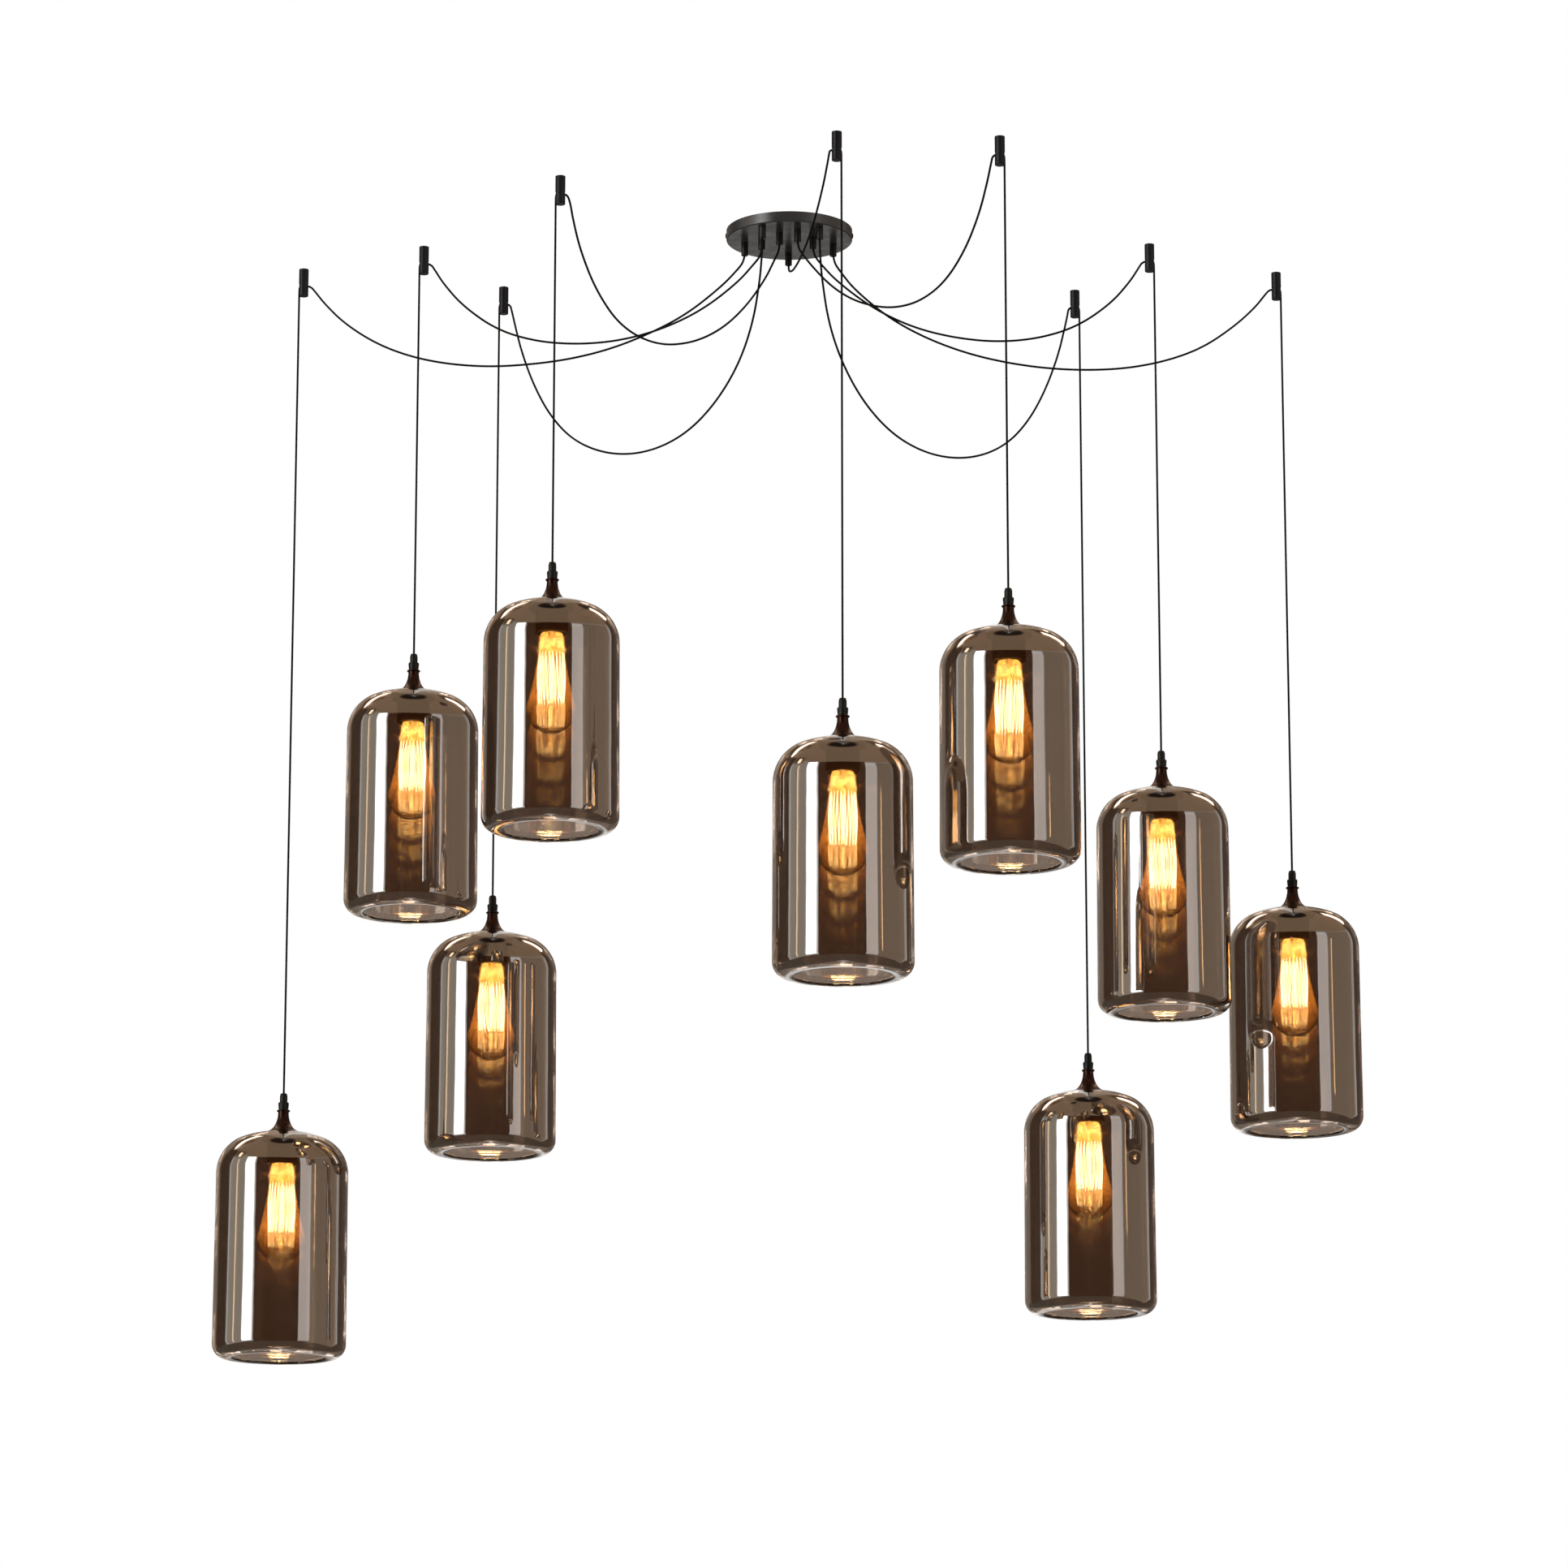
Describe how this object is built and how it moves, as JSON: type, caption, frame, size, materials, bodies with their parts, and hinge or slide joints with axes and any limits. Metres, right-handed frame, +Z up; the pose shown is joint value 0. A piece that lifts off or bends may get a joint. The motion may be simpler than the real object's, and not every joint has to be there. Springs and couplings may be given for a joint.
{
  "type": "glass pendant light",
  "caption": "Swag ceiling light: a round canopy feeds thin cords that hang to ceiling hooks and drop to smoked mirror glass cylinders, each with a filament bulb.",
  "frame": {"origin": "centre of the canopy on the ceiling plane, which is the centre of the two bracket slots", "axes": "+Z up into the ceiling; +X to the right and +Y away from the side that the fixture is seen from"},
  "size_m": [1.3974, 0.7786, 1.3735],
  "materials": {
    "canopy_paint": "satin",
    "zinc_steel": "zinc plated",
    "block_plastic": "matte",
    "grip_plastic": "semi-gloss",
    "screw_steel": "satin",
    "hook_paint": "satin",
    "cord_cover": "matte",
    "cap_bronze": "satin dark bronze",
    "smoked_glass": "smoked, half-mirrored",
    "holder_plastic": "matte",
    "bulb_glass": "clear, lit"
  },
  "bodies": {
    "fixture": {"canopy_cover": "canopy_paint", "mounting_bar": "zinc_steel", "terminal_block": "block_plastic", "canopy_grips": "grip_plastic", "canopy_screws": "screw_steel", "ceiling_hooks": "hook_paint", "swag_cord_1": "cord_cover", "swag_cord_2": "cord_cover", "swag_cord_3": "cord_cover", "swag_cord_4": "cord_cover", "swag_cord_5": "cord_cover", "swag_cord_6": "cord_cover", "swag_cord_7": "cord_cover", "swag_cord_8": "cord_cover", "swag_cord_9": "cord_cover"},
    "pendant_1": {"drop_cord_1": "cord_cover", "cap_1": "cap_bronze", "shade_1": "smoked_glass", "lamp_holder_1": "holder_plastic"},
    "lamp_1": {"bulb_1": "bulb_glass"},
    "pendant_2": {"drop_cord_2": "cord_cover", "cap_2": "cap_bronze", "shade_2": "smoked_glass", "lamp_holder_2": "holder_plastic"},
    "lamp_2": {"bulb_2": "bulb_glass"},
    "pendant_3": {"drop_cord_3": "cord_cover", "cap_3": "cap_bronze", "shade_3": "smoked_glass", "lamp_holder_3": "holder_plastic"},
    "lamp_3": {"bulb_3": "bulb_glass"},
    "pendant_4": {"drop_cord_4": "cord_cover", "cap_4": "cap_bronze", "shade_4": "smoked_glass", "lamp_holder_4": "holder_plastic"},
    "lamp_4": {"bulb_4": "bulb_glass"},
    "pendant_5": {"drop_cord_5": "cord_cover", "cap_5": "cap_bronze", "shade_5": "smoked_glass", "lamp_holder_5": "holder_plastic"},
    "lamp_5": {"bulb_5": "bulb_glass"},
    "pendant_6": {"drop_cord_6": "cord_cover", "cap_6": "cap_bronze", "shade_6": "smoked_glass", "lamp_holder_6": "holder_plastic"},
    "lamp_6": {"bulb_6": "bulb_glass"},
    "pendant_7": {"drop_cord_7": "cord_cover", "cap_7": "cap_bronze", "shade_7": "smoked_glass", "lamp_holder_7": "holder_plastic"},
    "lamp_7": {"bulb_7": "bulb_glass"},
    "pendant_8": {"drop_cord_8": "cord_cover", "cap_8": "cap_bronze", "shade_8": "smoked_glass", "lamp_holder_8": "holder_plastic"},
    "lamp_8": {"bulb_8": "bulb_glass"},
    "pendant_9": {"drop_cord_9": "cord_cover", "cap_9": "cap_bronze", "shade_9": "smoked_glass", "lamp_holder_9": "holder_plastic"},
    "lamp_9": {"bulb_9": "bulb_glass"}
  },
  "joints": [
    {"name": "pendant_swing_1", "type": "hinge", "parent": "fixture", "child": "pendant_1", "pos_m": [-0.61099, 0.15701, -0.021], "axis": [1, 0, 0], "range_deg": [-2.5, 2.5]},
    {"name": "bulb_removal_1", "type": "slide", "parent": "pendant_1", "child": "lamp_1", "axis": [0, 0, -1], "range_m": [0, 0.28]},
    {"name": "pendant_swing_2", "type": "hinge", "parent": "fixture", "child": "pendant_2", "pos_m": [-0.45399, 0.065, -0.021], "axis": [1, 0, 0], "range_deg": [-2.5, 2.5]},
    {"name": "bulb_removal_2", "type": "slide", "parent": "pendant_2", "child": "lamp_2", "axis": [0, 0, -1], "range_m": [0, 0.28]},
    {"name": "pendant_swing_3", "type": "hinge", "parent": "fixture", "child": "pendant_3", "pos_m": [-0.363, 0.23199, -0.021], "axis": [1, 0, 0], "range_deg": [-2.5, 2.5]},
    {"name": "bulb_removal_3", "type": "slide", "parent": "pendant_3", "child": "lamp_3", "axis": [0, 0, -1], "range_m": [0, 0.28]},
    {"name": "pendant_swing_4", "type": "hinge", "parent": "fixture", "child": "pendant_4", "pos_m": [-0.27403, -0.20898, -0.021], "axis": [1, 0, 0], "range_deg": [-2.5, 2.5]},
    {"name": "bulb_removal_4", "type": "slide", "parent": "pendant_4", "child": "lamp_4", "axis": [0, 0, -1], "range_m": [0, 0.28]},
    {"name": "pendant_swing_5", "type": "hinge", "parent": "fixture", "child": "pendant_5", "pos_m": [0.05501, -0.371, -0.021], "axis": [1, 0, 0], "range_deg": [-2.5, 2.5]},
    {"name": "bulb_removal_5", "type": "slide", "parent": "pendant_5", "child": "lamp_5", "axis": [0, 0, -1], "range_m": [0, 0.28]},
    {"name": "pendant_swing_6", "type": "hinge", "parent": "fixture", "child": "pendant_6", "pos_m": [0.24603, -0.35401, -0.021], "axis": [1, 0, 0], "range_deg": [-2.5, 2.5]},
    {"name": "bulb_removal_6", "type": "slide", "parent": "pendant_6", "child": "lamp_6", "axis": [0, 0, -1], "range_m": [0, 0.28]},
    {"name": "pendant_swing_7", "type": "hinge", "parent": "fixture", "child": "pendant_7", "pos_m": [0.44699, 0.05498, -0.021], "axis": [1, 0, 0], "range_deg": [-2.5, 2.5]},
    {"name": "bulb_removal_7", "type": "slide", "parent": "pendant_7", "child": "lamp_7", "axis": [0, 0, -1], "range_m": [0, 0.28]},
    {"name": "pendant_swing_8", "type": "hinge", "parent": "fixture", "child": "pendant_8", "pos_m": [0.36398, 0.24601, -0.021], "axis": [1, 0, 0], "range_deg": [-2.5, 2.5]},
    {"name": "bulb_removal_8", "type": "slide", "parent": "pendant_8", "child": "lamp_8", "axis": [0, 0, -1], "range_m": [0, 0.28]},
    {"name": "pendant_swing_9", "type": "hinge", "parent": "fixture", "child": "pendant_9", "pos_m": [0.614, 0.17099, -0.021], "axis": [1, 0, 0], "range_deg": [-2.5, 2.5]},
    {"name": "bulb_removal_9", "type": "slide", "parent": "pendant_9", "child": "lamp_9", "axis": [0, 0, -1], "range_m": [0, 0.28]}
  ]
}
